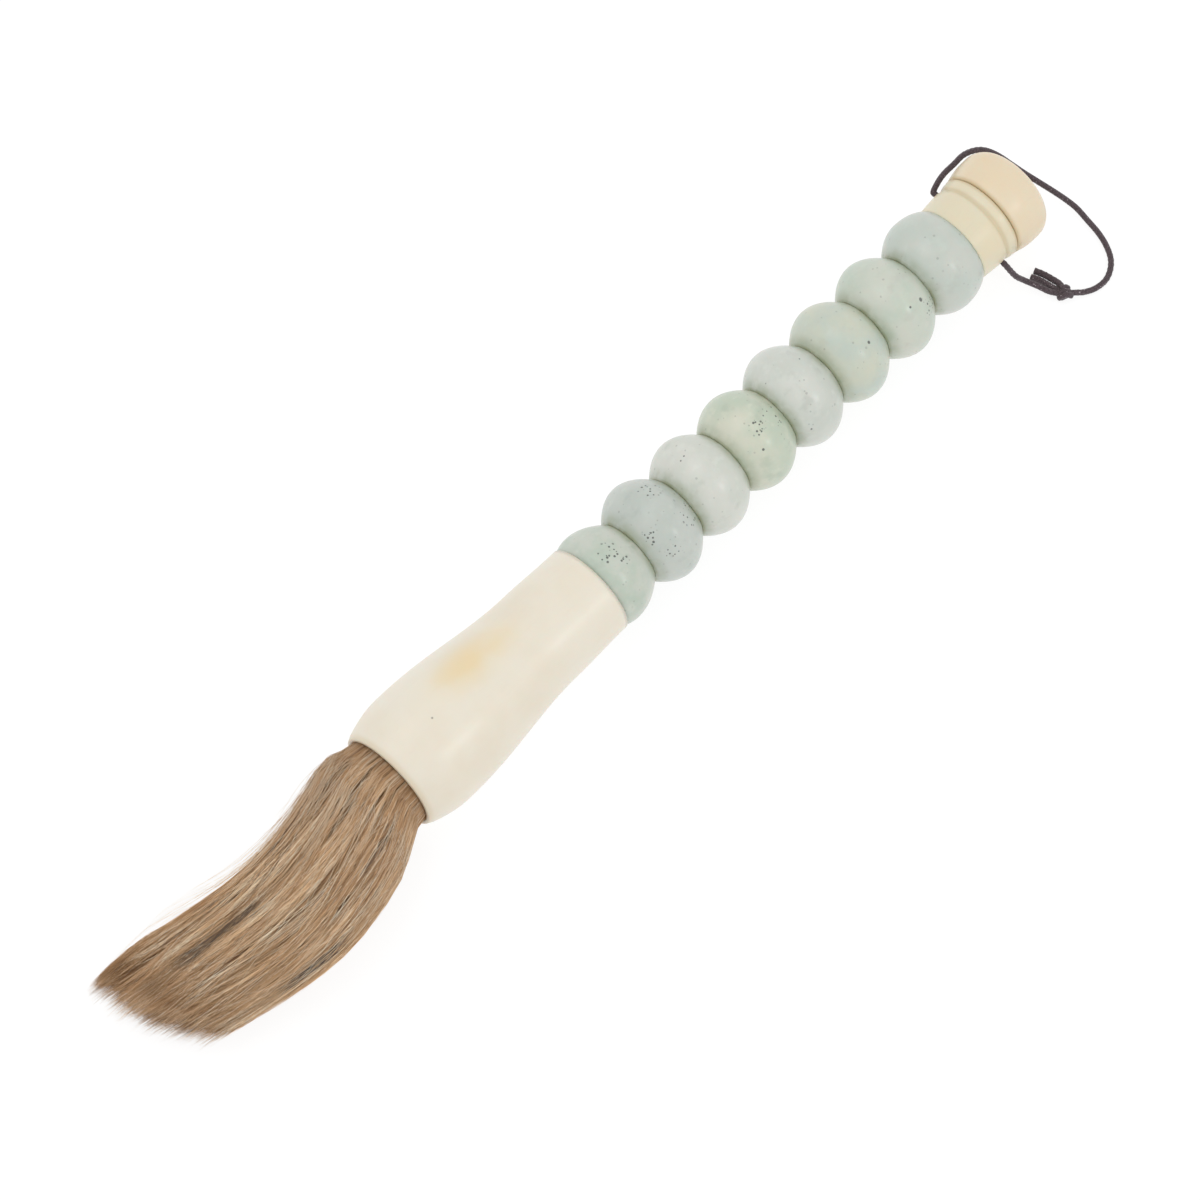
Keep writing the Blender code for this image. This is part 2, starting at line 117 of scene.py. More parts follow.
# Beads
BEAD_DIAMETERS = (32.3, 34.4, 33.7, 32.9, 34.0, 34.0, 34.2, 33.5)
LAST_BEAD = len(BEAD_DIAMETERS) - 1
BEAD_PITCH = 20.95
FIRST_BEAD_LENGTH = 18.9
FIRST_BEAD_PEAK_X = 92.2
FIRST_JOINT_X = 103.8
BEAD_FACE_RADIUS = 11.3
BEAD_BORE_RADIUS = 3.3
JOINT_GAP = 0.1

STONE_TONES = (
    # each bead's tone, and the tint of its clouds
    ((0.52, 0.54, 0.48), (0.41, 0.48, 0.40)),
    ((0.49, 0.52, 0.48), (0.44, 0.48, 0.44)),
    ((0.58, 0.59, 0.54), (0.52, 0.55, 0.49)),
    ((0.56, 0.57, 0.47), (0.46, 0.52, 0.42)),
    ((0.56, 0.58, 0.53), (0.50, 0.53, 0.48)),
    ((0.46, 0.52, 0.46), (0.53, 0.55, 0.45)),
    ((0.47, 0.53, 0.45), (0.54, 0.56, 0.49)),
    ((0.47, 0.52, 0.47), (0.52, 0.54, 0.49)),
)
# Dark specks: the bead, the place along it, the angle around it in degrees, and their spread
SPECKLED = (
    (1, 0.2, 92.0, 4.2), (1, 1.9, 107.0, 2.5),
    (2, 4.1, 70.0, 4.0), (2, 7.5, 122.0, 4.5), (2, -3.9, 137.0, 4.0), (2, -7.0, 112.0, 3.0),
    (3, -2.5, 76.0, 2.0), (4, 6.8, 105.0, 4.2), (4, -0.4, 105.0, 2.8), (4, -3.4, 127.0, 0.45),
    (5, -7.8, 69.0, 0.35), (5, 4.7, 81.0, 0.35), (5, -6.7, 156.0, 0.45), (6, 3.1, 121.0, 0.55),
    (7, 4.6, 127.0, 0.75), (7, -0.2, 124.0, 0.4), (7, 7.0, 145.0, 4.5),
)
SINGLE_SPECK = 1.2                  # a smaller spread is one speck
SPECK_CELLS = 880.0                 # in a metre
SPECK_HALF_LENGTH = 14.0            # of the ellipse that follows a bead's side, for their places

# Finial
COLLAR_X = 249.0
COLLAR_RADIUS = 14.0
COLLAR_END_X = 263.6
COLLAR_END_RADIUS = 15.2
COLLAR_ROUNDING = 0.7
RECESS_RADIUS = 9.4
RECESS_DEPTH = 1.5
GROOVE_X = 259.3
GROOVE_DEPTH = 0.6
GROOVE_HALF_WIDTH = 1.1
CAP_RADIUS = 16.4
CAP_BELLY_X = 270.5
CAP_END_X = 279.2
CAP_ROUNDING = 6.2
SPIGOT_RADIUS = 8.8                 # it sits in the collar's recess
SPIGOT_LENGTH = 1.3

# Cord
CORD_DIAMETER = 1.9
BORE_X = 257.8
BORE_ROLL = math.radians(14.0)
CORD_EXIT = 1.3                     # how far it leaves its bore straight
CORD_STEP = 0.35
BRAID_PITCH = 3.4
BRAID_RELIEF = 0.07
KNOT_PLACE = (267.3, -32.4, 2.3)
KNOT_TURNS = 2.3
KNOT_REACH = (-1.5, 1.7)            # where its turns start and end, along the cord
KNOT_HALF_WIDTH = 1.75
KNOT_HALF_HEIGHT = 1.15
TAIL_SWELL = 1.12                   # the cut ends are a little thicker than the cord

# Hair
HAIR_LENGTH = 98.5
HAIR_SHORT_SIDE = 13.0              # how much shorter it is on the -y side
ROOT_HALF_WIDTH = 15.0
BODY_HALF_WIDTH = 19.5
SWELL_LENGTH = 18.0
TIP_HALF_HEIGHT = 9.0
BOW = 8.3                           # the tuft's bow to -y
TIP_LEAN = 2.6                      # its tip's lean back to +y
TABLE_GAP = 1.0
CROWDED_Y = 22.0                    # beyond it hair is pressed together
CROWDED_DEPTH = 3.0
HAIR_HEIGHTS = (0.2, 41.2)
LOCKS = 210
OUTER_PIECES = 5
STRANDS_PER_PIECE = 2400
INNER_STRANDS = 2400
STRAY_STRANDS = 260
STRAND_RADIUS = 0.13
STRAND_STATIONS = 13
ROOT_OUT = -4.0                     # strands start this far out, which is inside the ferrule
INNER_OUT = 62.0
OUTER_DEPTHS = (0.66, 1.0)          # shares of the tuft's radius
INNER_DEPTHS = (0.0, 0.85)
LOCK_GATHER = 0.45                  # how much closer a lock's strands are at its tip
CROSSING_SHARE = 0.07               # of strands that lie across the others
LOCK_STRAY = 0.05                   # how far strands stray from their locks, in radians
CROSSING_STRAY = 0.2
TIP_STRAY = 0.09
TONE_SPREAD = 0.13
HAIR_UV = "OFBake"                  # u is a strand's tone or its patch, v the place along it
TONE_COLUMNS = 0.8                  # the columns of hair whose tone doesn't change along it
# Dark patches: angle in degrees, its half width, where the patch starts and ends, its colour
PATCHES = (
    (165.0, 6.0, 46.0, 66.0, (0.07, 0.055, 0.05)),
    (79.0, 4.0, 58.0, 82.0, (0.2, 0.145, 0.105)),
    (130.0, 6.0, 12.0, 30.0, (0.2, 0.15, 0.11)),
)
PATCH_SHARE = 0.65                  # of a patch's strands that are dark
PATCH_WIDTH = (1.0 - TONE_COLUMNS) / len(PATCHES)
PATCH_FADE_OUT = 6.0                # a patch starts to darken this far outside its ends
PATCH_FADE_IN = 3.0                 # and is at its darkest this far inside them


# ---------------------------------------------------------------- small helpers

def smooth(t):
    t = np.clip(t, 0.0, 1.0)
    return t * t * (3.0 - 2.0 * t)


def brush_frame(x=0.0):
    """The matrix from a place x on the brush's axis, with local x up the handle, to the world."""
    turn = Matrix.Rotation(TILT, 4, "Y")
    return Matrix.Translation(MOUTH) @ turn @ Matrix.Translation((x * MM, 0.0, 0.0))


def new_object(name, vertices, faces, material, smooth_faces=True):
    mesh = bpy.data.meshes.new(name)
    mesh.from_pydata([tuple(v) for v in vertices], [], [tuple(f) for f in faces])
    mesh.materials.append(material)
    if smooth_faces:
        mesh.shade_smooth()
    mesh.update()
    item = bpy.data.objects.new(name, mesh)
    bpy.context.scene.collection.objects.link(item)
    return item


# ---------------------------------------------------------------- camera and light

def make_camera():
    forward = Vector((math.cos(HEADING) * math.cos(DEPRESSION),
                      math.sin(HEADING) * math.cos(DEPRESSION), -math.sin(DEPRESSION)))
    data = bpy.data.cameras.new("camera")
    data.lens = LENS
    data.sensor_width = SENSOR
    camera = bpy.data.objects.new("camera", data)
    camera.location = Vector(TARGET) - forward * DISTANCE
    camera.rotation_euler = forward.to_track_quat("-Z", "Y").to_euler()
    bpy.context.scene.collection.objects.link(camera)
    bpy.context.scene.camera = camera


def make_world():
    """An even white light from all around."""
    world = bpy.data.worlds.new("studio")
    world.use_nodes = True
    bpy.context.scene.world = world
    background = world.node_tree.nodes["Background"]
    background.inputs["Color"].default_value = (1.0, 1.0, 1.0, 1.0)
    background.inputs["Strength"].default_value = AMBIENT


def make_floor():
    """A plain white floor with a glow of its own, so that shadows on it are faint."""
    material = bpy.data.materials.new("floor")
    material.use_nodes = True
    shader = material.node_tree.nodes["Principled BSDF"]
    shader.inputs["Base Color"].default_value = (FLOOR_TONE, FLOOR_TONE, FLOOR_TONE, 1.0)
    shader.inputs["Roughness"].default_value = 1.0
    shader.inputs["Specular IOR Level"].default_value = 0.0
    shader.inputs["Emission Color"].default_value = (1.0, 1.0, 1.0, 1.0)
    shader.inputs["Emission Strength"].default_value = FLOOR_GLOW
    reach = FLOOR_SIZE / 2
    corners = [(-reach, -reach, 0.0), (reach, -reach, 0.0),
               (reach, reach, 0.0), (-reach, reach, 0.0)]
    floor = new_object("floor", corners, [(0, 1, 2, 3)], material, smooth_faces=False)
    floor.location = (0.0, 0.0, FLOOR_Z)


def add_softbox(name, direction, size, watts):
    data = bpy.data.lights.new(name, "AREA")
    data.shape = "DISK"
    data.size = size
    data.energy = watts
    light = bpy.data.objects.new(name, data)
    light.location = Vector(direction).normalized() * SOFTBOX_DISTANCE
    light.rotation_euler = Vector(direction).to_track_quat("Z", "Y").to_euler()
    bpy.context.scene.collection.objects.link(light)


def make_studio():
    bpy.context.scene.view_settings.view_transform = "Standard"
    make_world()
    make_floor()
    for softbox in SOFTBOXES:
        add_softbox(*softbox)


# ---------------------------------------------------------------- material helpers

def new_look(name, roughness, **values):
    material = bpy.data.materials.new(name)
    material.use_nodes = True
    tree = material.node_tree
    shader = tree.nodes["Principled BSDF"]
    shader.inputs["Roughness"].default_value = roughness
    for socket, value in values.items():
        shader.inputs[socket.replace("_", " ")].default_value = value
    return material, tree, shader


def feed(tree, socket, value):
    """Link a socket to another, or set it to a value."""
    if isinstance(value, bpy.types.NodeSocket):
        tree.links.new(value, socket)
    elif isinstance(value, tuple) and len(value) == 3 and socket.type == "RGBA":
        socket.default_value = (*value, 1.0)
    else:
        socket.default_value = value


def object_place(tree):
    return tree.nodes.new("ShaderNodeTexCoord").outputs["Object"]


def scaled(tree, vector, scale):
    node = tree.nodes.new("ShaderNodeVectorMath")
    node.operation = "MULTIPLY"
    feed(tree, node.inputs[0], vector)
    node.inputs[1].default_value = scale
    return node.outputs[0]


def shifted(tree, vector, offset):
    node = tree.nodes.new("ShaderNodeVectorMath")
    node.operation = "ADD"
    feed(tree, node.inputs[0], vector)
    node.inputs[1].default_value = offset
    return node.outputs[0]


def noise(tree, vector, scale, detail=3.0, roughness=0.55):
    node = tree.nodes.new("ShaderNodeTexNoise")
    feed(tree, node.inputs["Vector"], vector)
    node.inputs["Scale"].default_value = scale
    node.inputs["Detail"].default_value = detail
    node.inputs["Roughness"].default_value = roughness
    return node.outputs["Fac"]


def band(tree, value, low, high, to_low=0.0, to_high=1.0):
    """A smooth step from to_low, where the value is low, to to_high, where it is high."""
    node = tree.nodes.new("ShaderNodeMapRange")
    node.interpolation_type = "SMOOTHSTEP"
    feed(tree, node.inputs["Value"], value)
    for socket, number in zip(("From Min", "From Max", "To Min", "To Max"),
                              (low, high, to_low, to_high)):
        node.inputs[socket].default_value = number
    return node.outputs["Result"]


def maths(tree, operation, a, b=0.0):
    node = tree.nodes.new("ShaderNodeMath")
    node.operation = operation
    feed(tree, node.inputs[0], a)
    feed(tree, node.inputs[1], b)
    return node.outputs[0]


def mix(tree, factor, a, b, blend="MIX"):
    node = tree.nodes.new("ShaderNodeMix")
    node.data_type = "RGBA"
    node.blend_type = blend
    feed(tree, node.inputs[0], factor)
    feed(tree, node.inputs[6], a)
    feed(tree, node.inputs[7], b)
    return node.outputs[2]


def ramp(tree, factor, stops):
    node = tree.nodes.new("ShaderNodeValToRGB")
    feed(tree, node.inputs[0], factor)
    elements = node.color_ramp.elements
    while len(elements) < len(stops):
        elements.new(0.5)
    for element, (position, colour) in zip(elements, stops):
        element.position = position
        element.color = (*colour, 1.0)
    return node.outputs[0]


def split(tree, vector):
    node = tree.nodes.new("ShaderNodeSeparateXYZ")
    feed(tree, node.inputs[0], vector)
    return node.outputs


def spot(tree, vector, centre, radius, softness):
    """1 near a point and 0 away from it.  The centre and the lengths are in metres."""
    node = tree.nodes.new("ShaderNodeVectorMath")
    node.operation = "DISTANCE"
    feed(tree, node.inputs[0], vector)
    node.inputs[1].default_value = centre
    return band(tree, node.outputs["Value"], radius, radius + softness, 1.0, 0.0)


def add_bump(tree, shader, height, strength, distance):
    node = tree.nodes.new("ShaderNodeBump")
    node.inputs["Strength"].default_value = strength
    node.inputs["Distance"].default_value = distance
    feed(tree, node.inputs["Height"], height)
    tree.links.new(node.outputs[0], shader.inputs["Normal"])


# ---------------------------------------------------------------- turned shapes

def tube_faces(rows, around, closed=False):
    """Quads between rings of points, and from the last ring to the first in a closed tube."""
    faces = []
    for row in range(rows if closed else rows - 1):
        below = (row + 1) % rows
        for column in range(around):
            beside = (column + 1) % around
            faces.append((row * around + column, row * around + beside,
                          below * around + beside, below * around + column))
    return faces


def lathe(name, outline, frame, material, around=96, ripple=None):
    """A closed ring or, where its outline starts and ends on the axis, a solid of revolution.

    `ripple` gives each angle a share by which its radius differs.
    """
    outline = np.array(outline)
    angles = np.linspace(0.0, 2.0 * math.pi, around, endpoint=False)
    is_ring = outline[0][1] > 0.0
    share = np.ones(around) if ripple is None else 1.0 + ripple(angles)
    radius = outline[:, 1, None] * share
    x = np.repeat(outline[:, :1], around, axis=1)
    vertices = np.stack([x, radius * np.cos(angles), radius * np.sin(angles)], axis=2) * MM
    faces = tube_faces(len(outline), around, closed=is_ring)
    item = new_object(name, vertices.reshape(-1, 3), faces, material)
    weld_ends(item.data)
    item.matrix_world = frame
    return item


def weld_ends(mesh):
    """Join the points that a lathe leaves on its axis, and turn every face outwards."""
    shape = bmesh.new()
    shape.from_mesh(mesh)
    bmesh.ops.remove_doubles(shape, verts=shape.verts, dist=1e-6)
    bmesh.ops.recalc_face_normals(shape, faces=shape.faces)
    shape.to_mesh(mesh)
    shape.free()


def ripple_of(rng, size):
    """A few slow waves around a turned piece, so that it isn't a perfect circle."""
    waves = [(count, rng.uniform(0.0, 2.0 * math.pi), size / count) for count in (2, 3, 5)]
    return lambda angles: sum(depth * np.sin(count * angles + phase) for count, phase, depth in waves)


# ---------------------------------------------------------------- ferrule and finial

def ferrule_radius(x):
    if x < BELLY_X:
        return MOUTH_RADIUS + (BELLY_RADIUS - MOUTH_RADIUS) * math.sin(math.pi / 2 * x / BELLY_X)
    if x < WAIST_X:
        fall = smooth((x - BELLY_X) / (WAIST_X - BELLY_X)) ** 1.25
        return BELLY_RADIUS + (WAIST_RADIUS - BELLY_RADIUS) * fall
    tail = smooth((x - WAIST_X) / (FERRULE_LENGTH - WAIST_X))
    return WAIST_RADIUS + (FERRULE_END_RADIUS - WAIST_RADIUS) * tail


def make_ferrule(material):
    outline = [(FERRULE_LENGTH - END_CHAMFER, FERRULE_END_RADIUS - 0.35)]
    for x in np.linspace(FERRULE_LENGTH - 0.05, 2.0, 60):
        outline.append((x, ferrule_radius(x)))
    lip_centre = MOUTH_RADIUS - LIP_ROUNDING
    for turn in np.radians(np.linspace(10.0, 90.0, 8)):
        outline.append((LIP_ROUNDING * (1 - math.sin(turn)),
                        lip_centre + LIP_ROUNDING * math.cos(turn)))
    outline += [(0.05, SOCKET_RADIUS + 0.35), (0.4, SOCKET_RADIUS), (SOCKET_DEPTH, SOCKET_RADIUS)]
    seat = bead_span(0)[0] - JOINT_GAP
    outline += [(SOCKET_DEPTH, MARROW_RADIUS), (seat, MARROW_RADIUS)]
    for share in np.linspace(0.0, 1.0, 8):
        x = seat + (FERRULE_LENGTH - END_CHAMFER - seat) * share
        outline.append((x, bead_radius(0, x, SEAT_ROOM)))
    return lathe("ferrule_bone", outline, brush_frame(), material)


def collar_radius(x):
    share = (x - COLLAR_X) / (COLLAR_END_X - COLLAR_X)
    radius = COLLAR_RADIUS + (COLLAR_END_RADIUS - COLLAR_RADIUS) * share
    across = (x - GROOVE_X) / GROOVE_HALF_WIDTH
    return radius - GROOVE_DEPTH * math.exp(-across * across)


def make_collar(material):
    seat = bead_span(LAST_BEAD)[1] + JOINT_GAP
    outline = [(COLLAR_END_X - RECESS_DEPTH, 0.0), (COLLAR_END_X - RECESS_DEPTH, RECESS_RADIUS),
               (COLLAR_END_X, RECESS_RADIUS + 0.2)]
    for turn in np.radians(np.linspace(0.0, 90.0, 6)):
        outline.append((COLLAR_END_X - COLLAR_ROUNDING * (1 - math.cos(turn)),
                        COLLAR_END_RADIUS - COLLAR_ROUNDING * (1 - math.sin(turn))))
    for x in np.linspace(COLLAR_END_X - 1.1, COLLAR_X + 0.25, 44):
        outline.append((x, collar_radius(x)))
    outline.append((COLLAR_X, COLLAR_RADIUS - 0.25))
    for share in np.linspace(0.0, 1.0, 6):
        x = COLLAR_X + (seat - COLLAR_X) * share
        outline.append((x, bead_radius(LAST_BEAD, x, SEAT_ROOM)))
    rod_end = BORE_X - 2.0
    outline += [(seat, BEAD_BORE_RADIUS), (rod_end, BEAD_BORE_RADIUS), (rod_end, 0.0)]
    return lathe("collar_bone", outline, brush_frame(), material)


def make_cap(material):
    start = COLLAR_END_X + JOINT_GAP
    rounding_x = CAP_END_X - CAP_ROUNDING
    outline = [(CAP_END_X, 0.0), (CAP_END_X, CAP_RADIUS - CAP_ROUNDING - 2.0)]
    for turn in np.radians(np.linspace(0.0, 90.0, 16)):
        outline.append((rounding_x + CAP_ROUNDING * math.cos(turn),
                        CAP_RADIUS - CAP_ROUNDING * (1 - math.sin(turn))))
    for share in np.linspace(0.95, 0.08, 14):
        x = start + (CAP_BELLY_X - start) * share
        rise = math.sin(math.pi / 2 * share)
        outline.append((x, COLLAR_END_RADIUS + (CAP_RADIUS - COLLAR_END_RADIUS) * rise))
    outline += [(start + 0.12, COLLAR_END_RADIUS - 0.3), (start, COLLAR_END_RADIUS - 0.8)]
    spigot_end = start - SPIGOT_LENGTH
    outline += [(start, SPIGOT_RADIUS), (spigot_end, SPIGOT_RADIUS), (spigot_end, 0.0)]
    return lathe("cap_bone", outline, brush_frame(), material)


# ---------------------------------------------------------------- beads

def bead_span(index):
    start = FIRST_JOINT_X + BEAD_PITCH * (index - 1)
    if index == 0:
        start = FIRST_JOINT_X - FIRST_BEAD_LENGTH
    return start + JOINT_GAP, FIRST_JOINT_X + BEAD_PITCH * index - JOINT_GAP


def bead_radius(index, x, grow=0.0):
    """A bead's radius falls off as a parabola towards another bead, and as an ellipse into bone."""
    start, end = bead_span(index)
    middle = FIRST_BEAD_PEAK_X if index == 0 else (start + end) / 2
    reach = middle - start if x < middle else end - middle
    fall = 1.0 - min(abs(x - middle) / (reach + grow), 1.0) ** 2
    into_bone = (index == 0 and x < middle) or (index == LAST_BEAD and x > middle)
    bulge = BEAD_DIAMETERS[index] / 2 - BEAD_FACE_RADIUS + grow
    return BEAD_FACE_RADIUS + bulge * (math.sqrt(fall) if into_bone else fall)


def make_bead(index, rng, material):
    """A bead about its own centre: its rounded side, its two flat faces and its bore."""
    start, end = bead_span(index)
    centre, half_length = (start + end) / 2, (end - start) / 2
    outline = []
    for turn in np.linspace(0.0, math.pi, 40):
        x = half_length * math.cos(turn)
        outline.append((x, bead_radius(index, centre + x)))
    outline += [(-half_length, BEAD_BORE_RADIUS), (half_length, BEAD_BORE_RADIUS)]
    ripple = ripple_of(rng, 0.008)
    return lathe(f"stone_bead_{index + 1}", outline, brush_frame(centre), material, ripple=ripple)


# ---------------------------------------------------------------- bone and stone looks

def bone_look(name, tone, warm_tone, seed):
    """Polished bone: cream, faintly mottled, with a grain along the brush."""
    material, tree, shader = new_look(name, 0.34, Subsurface_Weight=0.12, Subsurface_Scale=0.003)
    place = shifted(tree, object_place(tree), (seed, 0.0, 0.0))
    clouds = noise(tree, place, 55.0)
    colour = mix(tree, band(tree, clouds, 0.35, 0.75), tone, warm_tone)
    grain = noise(tree, scaled(tree, place, (90.0, 900.0, 900.0)), 1.0, 4.0)
    faint = tuple(0.93 * part for part in tone)
    colour = mix(tree, band(tree, grain, 0.58, 0.75, 0.0, 0.35), colour, faint)
    add_bump(tree, shader, grain, 0.08, 0.0004)
    return material, tree, shader, colour


def ferrule_look():
    """The ferrule's bone has a yellow stain on top, one dark fleck and a darker rim."""
    tone, warm_tone = (0.72, 0.67, 0.565), (0.70, 0.635, 0.52)
    material, tree, shader, colour = bone_look("ferrule_bone", tone, warm_tone, 0.0)
    place = object_place(tree)
    wander = noise(tree, place, 60.0, 2.0)
    stained = scaled(tree, place, (0.42, 1.0, 1.0))
    stain = spot(tree, stained, (0.0165, 0.004, 0.0175), 0.001, 0.0095)
    stain = maths(tree, "MULTIPLY", stain, band(tree, wander, 0.3, 0.6, 0.4, 1.0))
    colour = mix(tree, stain, colour, (0.72, 0.59, 0.37))
    fleck = spot(tree, place, (0.018, -0.0012, 0.0199), 0.0003, 0.0003)
    colour = mix(tree, fleck, colour, (0.25, 0.22, 0.18))
    rim = band(tree, split(tree, place)["X"], 0.0005, 0.0022, 1.0, 0.0)
    colour = mix(tree, maths(tree, "MULTIPLY", rim, 0.5), colour, (0.60, 0.50, 0.34))
    tree.links.new(colour, shader.inputs["Base Color"])
    return material


def finial_look(name, tone, warm_tone, seed):
    """The finial's bone is darker in its groove and at the joint between its two pieces."""
    material, tree, shader, colour = bone_look(name, tone, warm_tone, seed)
    place = object_place(tree)
    along = split(tree, place)["X"]
    near_groove = maths(tree, "ABSOLUTE", maths(tree, "SUBTRACT", along, GROOVE_X * MM))
    groove = band(tree, near_groove, 0.0003, 0.0013, 0.4, 0.0)
    near_joint = maths(tree, "ABSOLUTE", maths(tree, "SUBTRACT", along, COLLAR_END_X * MM))
    groove = maths(tree, "MAXIMUM", groove, band(tree, near_joint, 0.0002, 0.0016, 0.6, 0.0))
    colour = mix(tree, groove, colour, (0.48, 0.36, 0.18))
    tree.links.new(colour, shader.inputs["Base Color"])
    return material


def speck_mask(tree, place, index):
    """Where a bead's dark specks are: dots scattered in its speckled places, and single ones."""
    cells = tree.nodes.new("ShaderNodeTexVoronoi")
    feed(tree, cells.inputs["Vector"], shifted(tree, place, (0.05 * index, 0.0, 0.0)))
    cells.inputs["Scale"].default_value = SPECK_CELLS
    chance = split(tree, cells.outputs["Color"])
    dot_radius = maths(tree, "ADD", maths(tree, "MULTIPLY", chance["Y"], 0.2), 0.2)
    inside = maths(tree, "SUBTRACT", dot_radius, cells.outputs["Distance"])
    dots = band(tree, inside, 0.0, 0.06)
    mask = maths(tree, "MULTIPLY", band(tree, chance["X"], 0.93, 0.95), 0.3)
    mask = maths(tree, "MULTIPLY", mask, dots)
    for bead, along, angle, radius in SPECKLED:
        if bead != index + 1:
            continue
        turn = math.radians(angle)
        reach = BEAD_DIAMETERS[index] / 2 * math.sqrt(1.0 - (along / SPECK_HALF_LENGTH) ** 2)
        centre = (along * MM, reach * math.cos(turn) * MM, reach * math.sin(turn) * MM)
        near = spot(tree, place, centre, radius * 0.7 * MM, radius * 0.5 * MM)
        if radius > SINGLE_SPECK:
            some = band(tree, chance["X"], 0.25, 0.3)
            near = maths(tree, "MULTIPLY", near, maths(tree, "MULTIPLY", dots, some))
        mask = maths(tree, "MAXIMUM", mask, near)
    return mask


def stone_look(index, tone, tint):
    """Pale green stone: slow mottling, dark specks, painted shade towards the joints and a thin line of
    dirt at them.
    """
    material, tree, shader = new_look(f"stone_{index + 1}", 0.3, Subsurface_Weight=0.08,
                                      Subsurface_Scale=0.002)
    place = object_place(tree)
    local = shifted(tree, place, (0.31 * index + 0.1, 0.17 * index, 0.0))
    clouds = noise(tree, local, 70.0, 4.0)
    colour = mix(tree, band(tree, clouds, 0.35, 0.68), tone, tint)
    veins = noise(tree, local, 260.0, 5.0)
    pale = tuple(min(1.0, 1.12 * part) for part in tone)
    colour = mix(tree, band(tree, veins, 0.52, 0.7, 0.0, 0.35), colour, pale)
    shade = tuple(0.86 * part for part in tint)
    smudges = noise(tree, local, 150.0, 3.0)
    colour = mix(tree, band(tree, smudges, 0.56, 0.72, 0.0, 0.5), colour, shade)
    specks = maths(tree, "MULTIPLY", speck_mask(tree, place, index), 0.85)
    colour = mix(tree, specks, colour, (0.06, 0.065, 0.06))
    start, end = bead_span(index)
    along = maths(tree, "ABSOLUTE", split(tree, place)["X"])
    edge = (end - start) / 2 * MM
    patchy = band(tree, noise(tree, local, 180.0, 4.0), 0.3, 0.65, 0.3, 1.0)
    # painted shade: each bead's colour darkens over a wide band towards its joints, where shade falls
    # between the beads
    crevice_shade = band(tree, along, edge * 0.66, edge * 0.98, 0.0, 0.6)
    colour = mix(tree, maths(tree, "MULTIPLY", crevice_shade, patchy), colour, (0.27, 0.31, 0.20))
    line_dirt = band(tree, along, edge * 0.93, edge * 0.98, 0.0, 0.55)
    colour = mix(tree, maths(tree, "MULTIPLY", line_dirt, patchy), colour, (0.22, 0.24, 0.11))
    tree.links.new(colour, shader.inputs["Base Color"])
    add_bump(tree, shader, veins, 0.12, 0.0003)
    return material


# ---------------------------------------------------------------- plain looks of hidden pieces

def wood_look():
    material, tree, shader = new_look("wood", 0.65)
    place = object_place(tree)
    grain = noise(tree, scaled(tree, place, (40.0, 700.0, 700.0)), 1.0, 5.0)
    colour = mix(tree, band(tree, grain, 0.3, 0.7), (0.68, 0.5, 0.3), (0.48, 0.31, 0.16))
    tree.links.new(colour, shader.inputs["Base Color"])
    add_bump(tree, shader, grain, 0.2, 0.0003)
    return material


def thread_look():
    material, tree, shader = new_look("thread", 0.85)
    waves = tree.nodes.new("ShaderNodeTexWave")
    feed(tree, waves.inputs["Vector"], object_place(tree))
    waves.inputs["Scale"].default_value = 600.0
    colour = mix(tree, waves.outputs["Fac"], (0.5, 0.45, 0.35), (0.78, 0.73, 0.6))
    tree.links.new(colour, shader.inputs["Base Color"])
    add_bump(tree, shader, waves.outputs["Fac"], 0.5, 0.0003)
    return material


def resin_look():
    material, tree, shader = new_look("resin", 0.2)
    clouds = noise(tree, object_place(tree), 160.0)
    colour = mix(tree, clouds, (0.42, 0.24, 0.08), (0.5, 0.32, 0.13))
    tree.links.new(colour, shader.inputs["Base Color"])
    return material


# ---------------------------------------------------------------- cord

def catmull_rom(anchors, spacing):
    """Points at an even spacing on a smooth curve through the anchors, in millimetres."""
    anchors = np.array(anchors, float)
    padded = np.vstack([2 * anchors[0] - anchors[1], anchors, 2 * anchors[-1] - anchors[-2]])
    t = np.linspace(0.0, 1.0, 40, endpoint=False)[:, None]
    fine = []
    for p0, p1, p2, p3 in zip(padded, padded[1:], padded[2:], padded[3:]):
        fine.append(0.5 * (2 * p1 + (p2 - p0) * t + (2 * p0 - 5 * p1 + 4 * p2 - p3) * t ** 2
                           + (3 * p1 - p0 - 3 * p2 + p3) * t ** 3))
    fine = np.vstack([*fine, anchors[-1:]])
    lengths = np.concatenate([[0.0], np.cumsum(np.linalg.norm(np.diff(fine, axis=0), axis=1))])
    count = max(3, round(lengths[-1] / spacing))
    even = np.linspace(0.0, lengths[-1], count + 1)
    return np.stack([np.interp(even, lengths, fine[:, axis]) for axis in range(3)], axis=1)


def carried_frames(path):
    """Two unit vectors across the path at each of its points, carried along without twist."""
    ahead = np.gradient(path, axis=0)
    ahead /= np.linalg.norm(ahead, axis=1)[:, None]
    side = np.cross(ahead[0], (0.0, 0.0, 1.0))
    sides = []
    for direction in ahead:
        side = side - direction * np.dot(side, direction)
        side = side / np.linalg.norm(side)
        sides.append(side)
    sides = np.array(sides)
    return sides, np.cross(ahead, sides)


